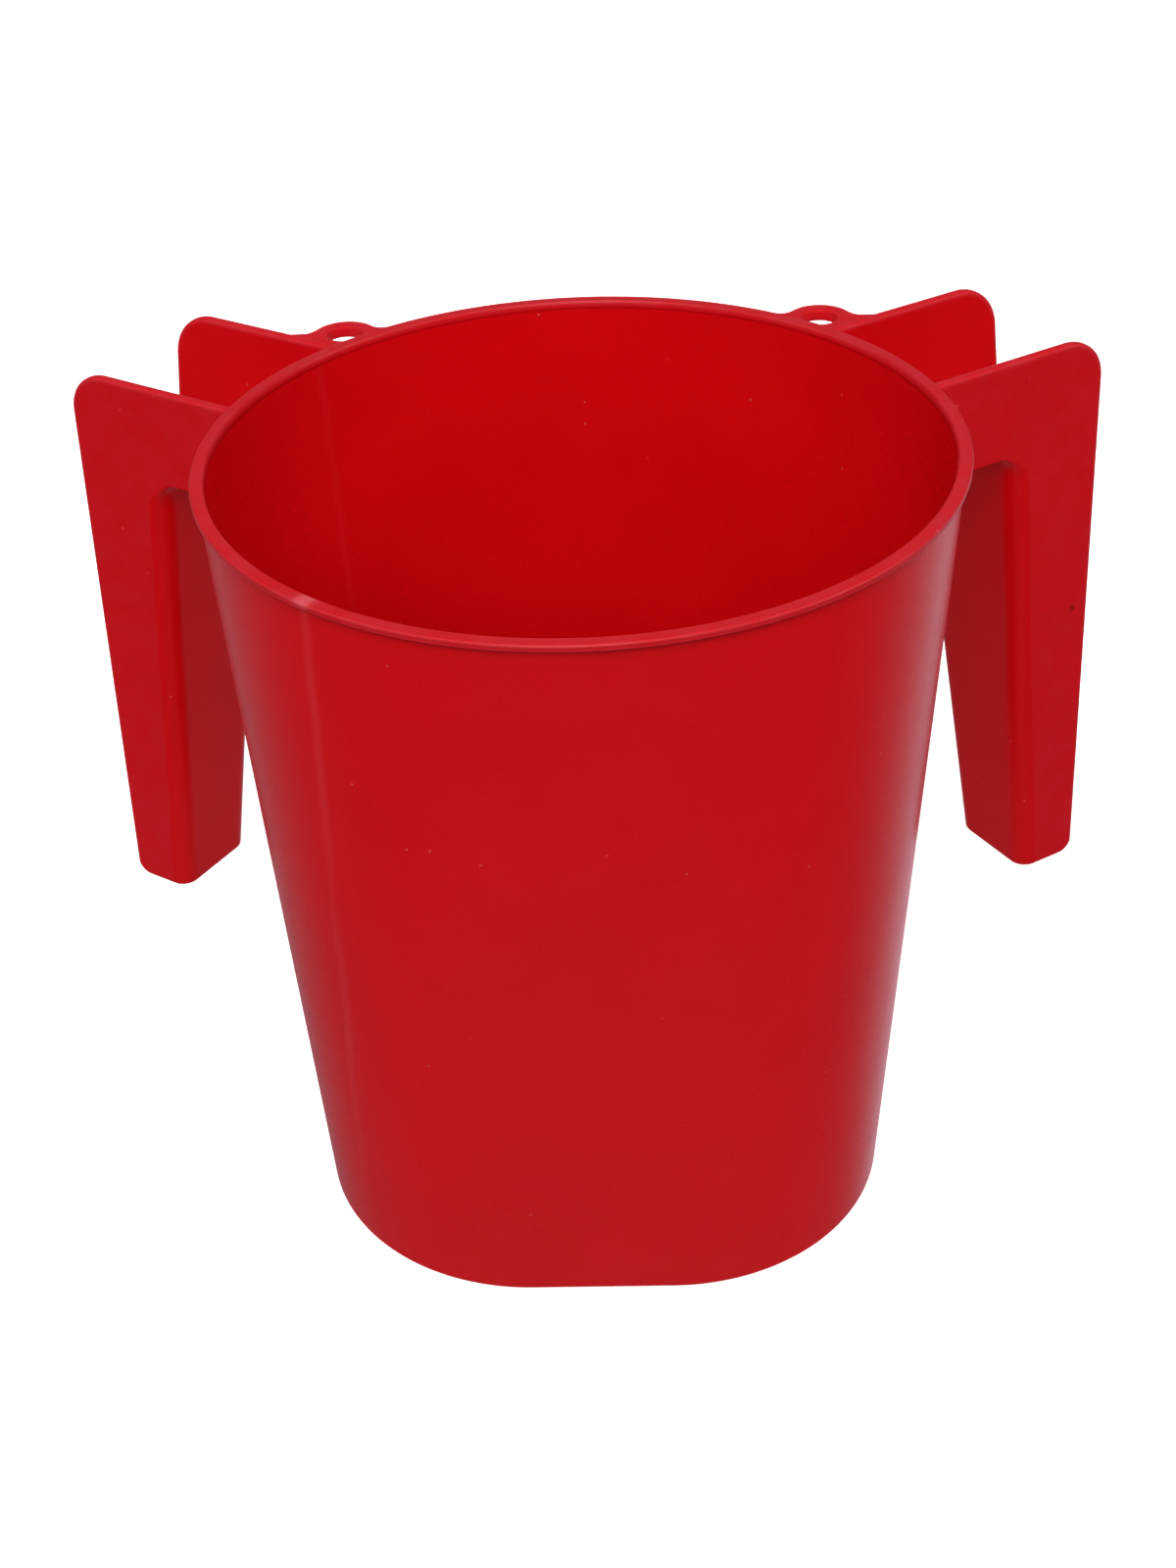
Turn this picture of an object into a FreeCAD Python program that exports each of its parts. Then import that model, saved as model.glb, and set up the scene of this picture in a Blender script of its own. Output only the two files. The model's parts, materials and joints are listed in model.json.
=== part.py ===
import FreeCAD, Part
import math
import os

# Two-handled moulded bucket: a tapered cup that is round at the rim and a rounded square at the
# base, with two channel-shaped handles that hang from the rim and two small hanging tabs.
# Millimetres. +Z up, origin on the cup's axis in the plane it stands on, -Y the pouring front.
# Each handle points outwards along a radial plane that lies behind the side axis.

# Cup
RIM_RADIUS = 65.0          # outside of the bead
CUP_HEIGHT = 144.2         # top of the bead
BEAD_WIDTH = 2.6
BEAD_HEIGHT = 1.5
BEAD_ROUND = 0.7           # rounding of the bead's two top edges
BEAD_OVERHANG = 1.1        # how far the bead stands out past the wall
WALL = 1.5
BASE_HALF_WIDTH = 53.3     # across the flats of the rounded square, halved, at the very bottom
BASE_CORNER = 40.3         # corner radius of the rounded square there
RIM_FLAT = 0.2             # what is left of a side's flat at the top, halved
FOOT_HEIGHT = 1.5
FOOT_WIDTH = 2.6
FLOOR = 1.8

# Handles: a channel section, open on its outer side, that turns down from a bridge to a grip
HANDLE_AZIMUTH = 31.7      # degrees that a handle points behind the side axis
PLATE = 2.0                # thickness of every handle plate
HANDLE_TOP_DROP = 0.2      # handle's top edge below the top of the bead
BRIDGE_HEIGHT = 19.4       # from the handle's top edge to the underside of the bridge
GRIP_BOTTOM = 22.7         # height of the grip's lower end
WIDTH_AT_TOP = 32.4        # over both side plates, at the top edge
WIDTH_AT_BOTTOM = 20.4     # the same at the grip's lower end
REACH_AT_TOP = 100.5       # outer edge from the cup's axis, at the top edge
REACH_AT_BOTTOM = 111.5
WEB_AT_TOP = 82.0          # finger side of the grip from the cup's axis, under the bridge
WEB_AT_BOTTOM = 98.0
GRIP_CORNER = 3.4          # outer radius of the grip's two long rounded edges
TOP_ROUND = 9.0            # side plate's outer top corner
BOTTOM_ROUND = 2.8         # side plate's outer bottom corner

# Hanging tabs: a lug in the corner between the bead and the rear bridge plate
TAB_THICKNESS = 2.2
TAB_HOLE_RADIUS = 3.25
TAB_RADIUS = 6.0
TAB_HOLE_DISTANCE = 67.8   # hole's centre from the cup's axis
TAB_HOLE_AZIMUTH = 49.5    # degrees behind the side axis
TAB_BLEND = 2.4            # how far the lug spreads along the rear plate

# Heights and places that follow from the above
WALL_TOP = CUP_HEIGHT - BEAD_HEIGHT
WALL_TOP_RADIUS = RIM_RADIUS - BEAD_OVERHANG
HANDLE_TOP = CUP_HEIGHT - HANDLE_TOP_DROP
BRIDGE_UNDERSIDE = HANDLE_TOP - BRIDGE_HEIGHT
TAB_BOTTOM = HANDLE_TOP - TAB_THICKNESS
INSIDE_CUP = 0.8 * RIM_RADIUS    # where plates start before the cup is cut out of them
SIDES = {"left": -1, "right": 1}
UP = FreeCAD.Vector(0, 0, 1)


def blend(low, high, share):
    """The value a share of the way from low to high."""
    return low + (high - low) * share


def arc_through(start, middle, end):
    return Part.Arc(start, middle, end).toShape()


def rounded_square(z, inset=0.0):
    """Outline of the cup at height z, moved inwards by inset, as four flats and four arcs."""
    share = z / WALL_TOP
    half = blend(BASE_HALF_WIDTH, WALL_TOP_RADIUS, share) - inset
    flat = blend(BASE_HALF_WIDTH - BASE_CORNER, RIM_FLAT, share)
    radius = half - flat
    edges = []
    for quarter in range(4):
        turn = FreeCAD.Rotation(UP, 90 * quarter)
        side_start = turn.multVec(FreeCAD.Vector(half, -flat, z))
        side_end = turn.multVec(FreeCAD.Vector(half, flat, z))
        diagonal = flat + radius * math.sqrt(0.5)
        corner_middle = turn.multVec(FreeCAD.Vector(diagonal, diagonal, z))
        corner_end = turn.multVec(FreeCAD.Vector(flat, half, z))
        edges.append(Part.makeLine(side_start, side_end))
        edges.append(arc_through(side_end, corner_middle, corner_end))
    return Part.Wire(edges)


def cup_block(bottom, top, inset=0.0):
    """Solid between two heights with the cup's outline, moved inwards by inset."""
    return Part.makeLoft([rounded_square(bottom, inset), rounded_square(top, inset)], True, True)


def bead_ring(inner_radius):
    """Turned ring with the bead's rounded top, from inner_radius to the outside of the bead."""
    def at(radius, z):
        return FreeCAD.Vector(radius, 0, z)

    sink = BEAD_ROUND * (1 - math.sqrt(0.5))
    shoulder = CUP_HEIGHT - BEAD_ROUND
    edges = [
        Part.makeLine(at(inner_radius, WALL_TOP), at(RIM_RADIUS, WALL_TOP)),
        Part.makeLine(at(RIM_RADIUS, WALL_TOP), at(RIM_RADIUS, shoulder)),
        arc_through(at(RIM_RADIUS, shoulder), at(RIM_RADIUS - sink, CUP_HEIGHT - sink),
                    at(RIM_RADIUS - BEAD_ROUND, CUP_HEIGHT)),
        Part.makeLine(at(RIM_RADIUS - BEAD_ROUND, CUP_HEIGHT),
                      at(inner_radius + BEAD_ROUND, CUP_HEIGHT)),
        arc_through(at(inner_radius + BEAD_ROUND, CUP_HEIGHT),
                    at(inner_radius + sink, CUP_HEIGHT - sink), at(inner_radius, shoulder)),
        Part.makeLine(at(inner_radius, shoulder), at(inner_radius, WALL_TOP)),
    ]
    return Part.Face(Part.Wire(edges)).revolve(FreeCAD.Vector(0, 0, 0), UP, 360)


def cup_outside():
    """Everything within the cup's outer surface, to cut the handles and tabs back to it."""
    bead_disc = bead_ring(0.5 * RIM_RADIUS)
    return cup_block(0, WALL_TOP).fuse(bead_disc)


def place(side, radial, across, z):
    """Point of a handle: radial from the cup's axis, across towards the front, at height z."""
    sign = SIDES[side]
    azimuth = math.radians(HANDLE_AZIMUTH)
    x = sign * (radial * math.cos(azimuth) + across * math.sin(azimuth))
    y = radial * math.sin(azimuth) - across * math.cos(azimuth)
    return FreeCAD.Vector(x, y, z)


def half_width(z):
    """Half the handle's width, over its side plates, at height z."""
    share = (z - GRIP_BOTTOM) / (HANDLE_TOP - GRIP_BOTTOM)
    return blend(WIDTH_AT_BOTTOM, WIDTH_AT_TOP, share) / 2


def reach(z):
    """Outer edge of the side plates from the cup's axis at height z."""
    return blend(REACH_AT_BOTTOM, REACH_AT_TOP, (z - GRIP_BOTTOM) / (HANDLE_TOP - GRIP_BOTTOM))


def web_face(z):
    """Finger side of the grip from the cup's axis at height z."""
    share = (z - GRIP_BOTTOM) / (BRIDGE_UNDERSIDE - GRIP_BOTTOM)
    return blend(WEB_AT_BOTTOM, WEB_AT_TOP, share)


def rounded_wire(points, radii):
    """Closed outline through points, with each corner rounded by its radius (0 stays sharp)."""
    count = len(points)
    trims = []
    for i, corner in enumerate(points):
        back = (points[i - 1] - corner).normalize()
        ahead = (points[(i + 1) % count] - corner).normalize()
        half_angle = back.getAngle(ahead) / 2
        length = radii[i] / math.tan(half_angle)
        middle = (back + ahead).normalize() * (radii[i] / math.sin(half_angle) - radii[i])
        trims.append((corner + back * length, corner + middle, corner + ahead * length))
    edges = []
    for i, (start, middle, end) in enumerate(trims):
        if radii[i]:
            edges.append(arc_through(start, middle, end))
        edges.append(Part.makeLine(end, trims[(i + 1) % count][0]))
    return Part.Wire(edges)


def side_plate(side, front, corners):
    """Plate in a leaning side plane; corners are (radial, height, rounding)."""
    def on_plane(radial, z):
        return place(side, radial, front * half_width(z), z)

    outline = rounded_wire([on_plane(radial, z) for radial, z, _ in corners],
                           [rounding for _, _, rounding in corners])
    inwards = place(side, 0, -front * PLATE, 0)
    return Part.Face(outline).extrude(inwards)


def bridge_plate(side, front, outside):
    plate = side_plate(side, front, [
        (INSIDE_CUP, BRIDGE_UNDERSIDE, 0),
        (reach(BRIDGE_UNDERSIDE), BRIDGE_UNDERSIDE, 0),
        (REACH_AT_TOP, HANDLE_TOP, TOP_ROUND),
        (INSIDE_CUP, HANDLE_TOP, 0),
    ])
    return plate.cut(outside)


def grip_plate(side, front):
    return side_plate(side, front, [
        (WEB_AT_BOTTOM + GRIP_CORNER, GRIP_BOTTOM, 0),
        (REACH_AT_BOTTOM, GRIP_BOTTOM, BOTTOM_ROUND),
        (reach(BRIDGE_UNDERSIDE), BRIDGE_UNDERSIDE, 0),
        (WEB_AT_TOP + GRIP_CORNER, BRIDGE_UNDERSIDE, 0),
    ])


def web_section(side, z):
    """Section of the grip's finger side at height z: a flat with two rounded corners."""
    face = web_face(z)
    edge = half_width(z)
    inner_corner = GRIP_CORNER - PLATE

    def at(radial, across):
        return place(side, radial, across, z)

    def corner_arc(radius, sign):
        """Quarter arc of the corner on the side of sign, from the flat to the side plate."""
        radial_centre = face + GRIP_CORNER
        across_centre = sign * (edge - GRIP_CORNER)
        diagonal = radius * math.sqrt(0.5)
        return (at(radial_centre - radius, across_centre),
                at(radial_centre - diagonal, across_centre + sign * diagonal),
                at(radial_centre, across_centre + sign * radius))

    outer_front = corner_arc(GRIP_CORNER, 1)
    outer_rear = corner_arc(GRIP_CORNER, -1)
    inner_front = corner_arc(inner_corner, 1)
    inner_rear = corner_arc(inner_corner, -1)
    return Part.Wire([
        arc_through(outer_front[2], outer_front[1], outer_front[0]),
        Part.makeLine(outer_front[0], outer_rear[0]),
        arc_through(*outer_rear),
        Part.makeLine(outer_rear[2], inner_rear[2]),
        arc_through(inner_rear[2], inner_rear[1], inner_rear[0]),
        Part.makeLine(inner_rear[0], inner_front[0]),
        arc_through(*inner_front),
        Part.makeLine(inner_front[2], outer_front[2]),
    ])


def grip_web(side):
    sections = [web_section(side, GRIP_BOTTOM), web_section(side, BRIDGE_UNDERSIDE)]
    return Part.makeLoft(sections, True, True)


def bridge_soffit(side, outside):
    """Underside plate of the bridge, from the cup's wall to the back of the grip's web."""
    end = WEB_AT_TOP + PLATE
    outlines = []
    for z in (BRIDGE_UNDERSIDE, BRIDGE_UNDERSIDE + PLATE):
        edge = half_width(z) - PLATE
        outlines.append(Part.makePolygon([
            place(side, INSIDE_CUP, -edge, z), place(side, end, -edge, z),
            place(side, end, edge, z), place(side, INSIDE_CUP, edge, z),
            place(side, INSIDE_CUP, -edge, z)]))
    return Part.makeLoft(outlines, True, True).cut(outside)


def tab_hole(side):
    """The hole's own cylinder, longer than the tab is thick."""
    azimuth = math.radians(TAB_HOLE_AZIMUTH)
    centre = FreeCAD.Vector(SIDES[side] * TAB_HOLE_DISTANCE * math.cos(azimuth),
                            TAB_HOLE_DISTANCE * math.sin(azimuth), TAB_BOTTOM - PLATE)
    return Part.makeCylinder(TAB_HOLE_RADIUS, CUP_HEIGHT, centre)


def hanging_tab(side, outside, rear_plate):
    """Lug round the hole, with a gusset that fills the corner to the bead and the rear plate."""
    turn = math.radians(TAB_HOLE_AZIMUTH - HANDLE_AZIMUTH)
    radial = TAB_HOLE_DISTANCE * math.cos(turn)
    behind = TAB_HOLE_DISTANCE * math.sin(turn)
    plate_face = half_width(TAB_BOTTOM)
    outline = [
        (INSIDE_CUP, plate_face - PLATE),
        (radial + TAB_RADIUS + TAB_BLEND, plate_face - PLATE),
        (radial + TAB_RADIUS + TAB_BLEND, plate_face),
        (radial + TAB_RADIUS, behind),
        (radial, behind + TAB_RADIUS),
        (INSIDE_CUP, behind + TAB_RADIUS),
    ]
    points = [place(side, r, -b, TAB_BOTTOM) for r, b in outline]
    gusset = Part.Face(Part.makePolygon(points + points[:1])).extrude(UP * TAB_THICKNESS)
    lug = Part.makeCylinder(TAB_RADIUS, TAB_THICKNESS, place(side, radial, -behind, TAB_BOTTOM))
    return gusset.fuse(lug).cut(rear_plate).cut(outside).cut(tab_hole(side)).removeSplitter()


def largest_solid(shape):
    """The shape's one real solid: cutting a plate at a curved wall may leave crumbs."""
    return max(shape.Solids, key=lambda solid: solid.Volume)


def build():
    outside = cup_outside()
    bead = bead_ring(RIM_RADIUS - BEAD_WIDTH)
    for side in SIDES:
        bead = bead.cut(tab_hole(side))
    nodes = {
        "cup_wall": cup_block(FOOT_HEIGHT, WALL_TOP).cut(cup_block(FOOT_HEIGHT, WALL_TOP, WALL)),
        "cup_floor": cup_block(FOOT_HEIGHT, FOOT_HEIGHT + FLOOR, WALL),
        "foot_ring": cup_block(0, FOOT_HEIGHT).cut(cup_block(0, FOOT_HEIGHT, FOOT_WIDTH)),
        "rim_bead": bead,
    }
    for side in SIDES:
        for name, front in (("front", 1), ("rear", -1)):
            nodes[f"{side}_{name}_bridge_plate"] = bridge_plate(side, front, outside)
            nodes[f"{side}_{name}_grip_plate"] = grip_plate(side, front)
        nodes[f"{side}_grip_web"] = grip_web(side)
        nodes[f"{side}_bridge_soffit"] = bridge_soffit(side, outside)
        nodes[f"{side}_hanging_tab"] = hanging_tab(side, outside,
                                                   nodes[f"{side}_rear_bridge_plate"])
    return nodes


def main():
    os.makedirs("parts", exist_ok=True)
    for name, shape in build().items():
        solid = largest_solid(shape)
        box = solid.optimalBoundingBox(False)
        print(f"{name:28s} valid {solid.isValid()} closed {solid.isClosed()} "
              f"volume {solid.Volume:9.1f}  x {box.XMin:7.2f} {box.XMax:7.2f} "
              f"y {box.YMin:7.2f} {box.YMax:7.2f}  z {box.ZMin:7.2f} {box.ZMax:7.2f}")
        solid.exportStep(f"parts/{name}.step")


main()
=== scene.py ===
import json
import math

import bmesh
import bpy
import numpy as np
from mathutils import Matrix, Vector


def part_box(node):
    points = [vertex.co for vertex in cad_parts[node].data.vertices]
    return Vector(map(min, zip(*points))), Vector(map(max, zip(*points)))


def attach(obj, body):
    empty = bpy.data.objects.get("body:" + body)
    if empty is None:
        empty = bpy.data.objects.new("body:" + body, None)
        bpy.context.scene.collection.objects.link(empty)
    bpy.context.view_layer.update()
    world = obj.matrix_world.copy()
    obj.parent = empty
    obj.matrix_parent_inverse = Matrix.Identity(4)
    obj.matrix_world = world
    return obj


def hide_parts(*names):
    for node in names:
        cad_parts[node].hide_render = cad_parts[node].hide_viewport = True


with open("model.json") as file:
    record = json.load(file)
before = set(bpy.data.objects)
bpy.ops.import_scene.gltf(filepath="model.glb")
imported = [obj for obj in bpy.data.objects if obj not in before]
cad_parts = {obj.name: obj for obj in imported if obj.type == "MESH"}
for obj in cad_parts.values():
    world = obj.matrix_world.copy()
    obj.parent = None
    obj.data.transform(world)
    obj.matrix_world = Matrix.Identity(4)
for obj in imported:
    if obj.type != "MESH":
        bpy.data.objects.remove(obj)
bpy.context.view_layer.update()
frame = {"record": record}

# Two-handled red bucket, moulded in one piece. Meshes are worked out in millimetres in the frame
# of the CAD part (+Z up, -Y the front) and stored in metres.

MM = 0.001


def box_mm(node):
    low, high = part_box(node)
    return low / MM, high / MM


# Sizes that the frame gives
RIM_RADIUS = box_mm("rim_bead")[1].x
CUP_HEIGHT = box_mm("rim_bead")[1].z
WALL_TOP = box_mm("cup_wall")[1].z
WALL_TOP_RADIUS = box_mm("cup_wall")[1].x
FOOT_HEIGHT = box_mm("foot_ring")[1].z
FLOOR_TOP = box_mm("cup_floor")[1].z
HANDLE_TOP = box_mm("right_front_bridge_plate")[1].z
BRIDGE_UNDERSIDE = box_mm("right_front_bridge_plate")[0].z
GRIP_BOTTOM = box_mm("right_front_grip_plate")[0].z
TAB_BOTTOM = box_mm("right_hanging_tab")[0].z
HOLES = {m["name"].split("_")[0]: m for m in frame["record"]["mounts"] if m["kind"] == "bore"}
TAB_HOLE_RADIUS = HOLES["right"]["dims"]["r_mm"]

# Sizes of the cup that a box doesn't give
BASE_HALF_WIDTH = 53.3
BASE_FLAT = 13.0           # half of a side's flat at the base
RIM_FLAT = 0.2             # and at the rim
WALL = 1.5
FOOT_WIDTH = 2.6
BASE_EDGE_ROUND = 0.8
FOOT_EDGE_ROUND = 0.4
FLOOR_FILLET = 5.0
GATE_HEIGHT = 0.5          # stub of the moulding gate, in the recess under the floor
# Its outline: radius, share of its height
GATE = ((0.4, 1.0), (1.1, 1.0), (1.4, 0.9), (1.6, 0.6), (1.65, 0.2), (1.9, 0.0))
BEAD_WIDTH = 2.6
BEAD_INNER_ROUND = 0.5     # inwards
BEAD_INNER_FALL = 1.3      # and downwards
BEAD_OUTER_ROUND = 0.5
BEAD_COLUMNS = 768
# Groove and lip below the bead's outer edge: inset, drop from the top, wear; the wear is also
# painted highlight, high on the lip's bulge and low in the groove
BEAD_OUTSIDE = ((0.02, 0.56, 0.8), (0.06, 0.64, 0.3), (0.09, 0.71, 0.1), (0.07, 0.78, 0.3),
                (0.03, 0.86, 0.6), (0.01, 0.96, 0.7), (0.03, 1.08, 0.6), (0.10, 1.18, 0.3),
                (0.25, 1.25, 0.0), (0.6, 1.33, 0.0), (0.95, 1.5, 0.0), (1.14, 1.9, 0.0),
                (1.5, 2.2, 0.0))
# Nicks in the lip: azimuth in degrees, depth
NICKS = ((-151, 0.10), (-128, 0.12), (-97, 0.06), (-62, 0.09), (-17, 0.12), (-8, 0.07),
         (74, 0.08), (133, 0.1), (171, 0.08))
NICK_HALF_LENGTH = 0.8
LIP_RIPPLE = 0.025
SCUFF_AZIMUTH = -129.5     # pale rubbed spot on the bead
SCUFF_HALF_LENGTH = 1.7
SCUFF_WEAR = 2.2
NUB_AZIMUTH = 10.5         # flash nub on the bead, behind the right side axis
NUB_SIDES = 10
# The nub's path: distance past the rim, height over the cup's top, half thickness
NUB_PATH = ((-0.8, -1.0, 0.55), (-0.1, -0.8, 0.5), (0.35, -0.62, 0.4), (0.6, -0.42, 0.26),
            (0.68, -0.2, 0.12), (0.68, -0.12, 0.03))

# Sizes of the handles that a box doesn't give
HANDLE_AZIMUTH = 31.7
PLATE = 2.0
WIDTH_AT_TOP = 32.4
WIDTH_AT_BOTTOM = 20.4
REACH_AT_TOP = 100.5
REACH_AT_BOTTOM = 111.5
WEB_AT_TOP = 82.0
WEB_AT_BOTTOM = 98.0
GRIP_CORNER = 3.4
BRIDGE_CORNER = 0.5
BRIDGE_INNER_CORNER = 1.1
ELBOW_ROUND = 3.4          # between the bridge's underside and the grip
CORNER_GROWS_FROM = 2.2    # way round the elbow at which its side corners start to grow rounder
CORNER_GROWS_OVER = 4.6
TOP_ROUND = 9.0
BOTTOM_ROUND = 2.8
PLATE_EDGE_ROUND = 0.7
WALL_NECK = 0.9            # the plates narrow over this length to where they meet the cup's wall

TAB_RADIUS = 6.0
TAB_PLATE_BLEND = 4.5
TAB_BEAD_BLEND = 3.0
TAB_EDGE_ROUND = 0.35
TAB_TOP_DROP = 0.03        # the tab's top lies this far below the plate's
TRIM_WEAR = 0.8            # on the tabs and the nub
TAB_COLUMNS = 144

SUNK = 0.5                 # how far a piece goes into the one that it grows out of
PLATE_COLUMNS = 9          # of a handle's section that lie on the flat of a side plate
PLATE_WEAR = 0.35          # hands rub the outsides of the plates
# The dent is a bump, and its hollow is darkened with painted shade
DENT_HEIGHT = 86.0         # small dent in the right front grip plate
DENT_FROM_EDGE = 4.0


def lerp(low, high, share):
    return low + (high - low) * share


def smooth(share):
    share = np.clip(share, 0, 1)
    return share * share * (3 - 2 * share)


# ---------------------------------------------------------------- meshes

def new_piece(name, points, faces, material, nodes, wear=None):
    """Closed mesh piece from points in millimetres, riding on the root body."""
    mesh = bpy.data.meshes.new(name)
    mesh.from_pydata([tuple(p) for p in np.asarray(points) * MM], [], faces)
    if wear is not None:
        layer = mesh.attributes.new("wear", "FLOAT", "POINT")
        layer.data.foreach_set("value", np.asarray(wear, np.float32))
    shape = bmesh.new()
    shape.from_mesh(mesh)
    bmesh.ops.recalc_face_normals(shape, faces=shape.faces)
    shape.to_mesh(mesh)
    shape.free()
    mesh.shade_smooth()
    mesh.set_sharp_from_angle(angle=math.radians(50))
    piece = bpy.data.objects.new(name, mesh)
    bpy.context.scene.collection.objects.link(piece)
    weighted = piece.modifiers.new("weighted_normals", "WEIGHTED_NORMAL")
    weighted.keep_sharp = True
    weighted.weight = 100
    mesh.materials.append(material)
    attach(piece, "root")
    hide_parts(*nodes)
    return piece


def ring_faces(rows, around, start=0, closed_rows=False):
    """Quads between rings of points, each ring closed; closed_rows joins the last to the first."""
    faces = []
    last = rows if closed_rows else rows - 1
    for i in range(last):
        below = start + i * around
        above = start + ((i + 1) % rows) * around
        for j in range(around):
            ahead = (j + 1) % around
            faces.append((below + j, below + ahead, above + ahead, above + j))
    return faces


# ---------------------------------------------------------------- cup

def cup_half(z):
    """Half the cup's outside width across its flats at height z."""
    return lerp(BASE_HALF_WIDTH, WALL_TOP_RADIUS, z / WALL_TOP)


def cup_flat(z):
    return lerp(BASE_FLAT, RIM_FLAT, z / WALL_TOP)


def rounded_square(half, flat, z, per_flat=10, per_corner=86):
    """Ring of points on a rounded square: four flats and four quarter circles."""
    radius = half - flat
    points = []
    for quarter in range(4):
        turn = math.radians(90 * quarter)
        across, along = math.cos(turn), math.sin(turn)
        for i in range(per_flat):
            y = lerp(-flat, flat, i / per_flat)
            points.append((half * across - y * along, half * along + y * across, z))
        for i in range(per_corner):
            angle = turn + math.radians(90 * i / per_corner)
            centre_x = flat * across - flat * along
            centre_y = flat * along + flat * across
            points.append((centre_x + radius * math.cos(angle),
                           centre_y + radius * math.sin(angle), z))
    return points


def wall_distance(points):
    """Distance of points outside the cup's outer surface, level by level (negative inside)."""
    half, flat = cup_half(points[..., 2]), cup_flat(points[..., 2])
    over = np.abs(points[..., :2]) - flat[..., None]
    outside = np.hypot(np.maximum(over[..., 0], 0), np.maximum(over[..., 1], 0))
    return outside + np.minimum(over.max(-1), 0) - (half - flat)


def wall_normal(points):
    step = 0.01
    slopes = [wall_distance(points + step * axis) - wall_distance(points - step * axis)
              for axis in np.eye(3)]
    normal = np.stack(slopes, -1)
    return normal / np.linalg.norm(normal, axis=-1, keepdims=True)


def arc(start, end, count):
    """Angles in radians from start to end degrees, both ends included."""
    return [math.radians(lerp(start, end, i / count)) for i in range(count + 1)]


def cup_body(material):
    """Wall, floor and foot as one shell, from the middle of the underside to the inner floor."""
    rows = []          # (half width, flat, height)

    def level(radius, z):
        """Row on the flat floor: it turns round towards the middle."""
        share = radius / BASE_HALF_WIDTH
        rows.append((radius, BASE_FLAT * share * share, z))

    def wall_row(inset, z):
        rows.append((cup_half(z) - inset, cup_flat(z), z))

    for radius, drop in GATE:
        level(radius, FOOT_HEIGHT - GATE_HEIGHT * drop)
    foot_inside = BASE_HALF_WIDTH - FOOT_WIDTH
    for share in (0.15, 0.4, 0.7, 0.9):
        level(foot_inside * share, FOOT_HEIGHT)
    for angle in arc(0, 90, 4):
        wall_row(FOOT_WIDTH + 0.5 * (1 - math.sin(angle)), FOOT_HEIGHT - 0.5 * (1 - math.cos(angle)))
    for angle in arc(0, 90, 4):
        wall_row(FOOT_WIDTH - FOOT_EDGE_ROUND * (1 - math.cos(angle)),
                 FOOT_EDGE_ROUND * (1 - math.sin(angle)))
    for angle in arc(90, 0, 6):
        wall_row(BASE_EDGE_ROUND * (1 - math.cos(angle)), BASE_EDGE_ROUND * (1 - math.sin(angle)))
    for i in range(1, 41):
        wall_row(0, lerp(BASE_EDGE_ROUND, WALL_TOP, i / 40))
    fillet_top = FLOOR_TOP + FLOOR_FILLET
    for i in range(41):
        wall_row(WALL, lerp(WALL_TOP, fillet_top, i / 40))
    for angle in arc(0, 90, 10)[1:]:
        wall_row(WALL + FLOOR_FILLET * (1 - math.cos(angle)),
                 fillet_top - FLOOR_FILLET * math.sin(angle))
    floor_half = rows[-1][0]
    for share in (0.9, 0.7, 0.4, 0.15, 0.01):
        level(floor_half * share, FLOOR_TOP)

    points = []
    for half, flat, z in rows:
        points += rounded_square(half, flat, z)
    around = len(points) // len(rows)
    faces = ring_faces(len(rows), around)
    for ring, z in ((0, rows[0][2]), (len(rows) - 1, rows[-1][2])):
        points.append((0, 0, z))
        middle = len(points) - 1
        faces += [(ring * around + j, ring * around + (j + 1) % around, middle)
                  for j in range(around)]
    return new_piece("cup_body", points, faces, material,
                     ["cup_wall", "cup_floor", "foot_ring"])


def near(angle, azimuth, half_length):
    """Falls from 1 to 0 with the distance along the rim between an angle and an azimuth."""
    away = math.remainder(angle - math.radians(azimuth), 2 * math.pi) * RIM_RADIUS
    return math.exp(-(away / half_length) ** 2)


def radius_clear_of(hole, angle):
    """Radius at an angle at which the bead meets a hanging hole; endless where it doesn't."""
    x, y = hole["pos_m"][:2]
    away = math.remainder(angle - math.atan2(y, x), 2 * math.pi)
    reach = math.hypot(x, y) / MM
    half_chord = TAB_HOLE_RADIUS ** 2 - (reach * math.sin(away)) ** 2
    if abs(away) > 0.2 or half_chord <= 0:
        return math.inf
    return reach * math.cos(away) - math.sqrt(half_chord)


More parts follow.
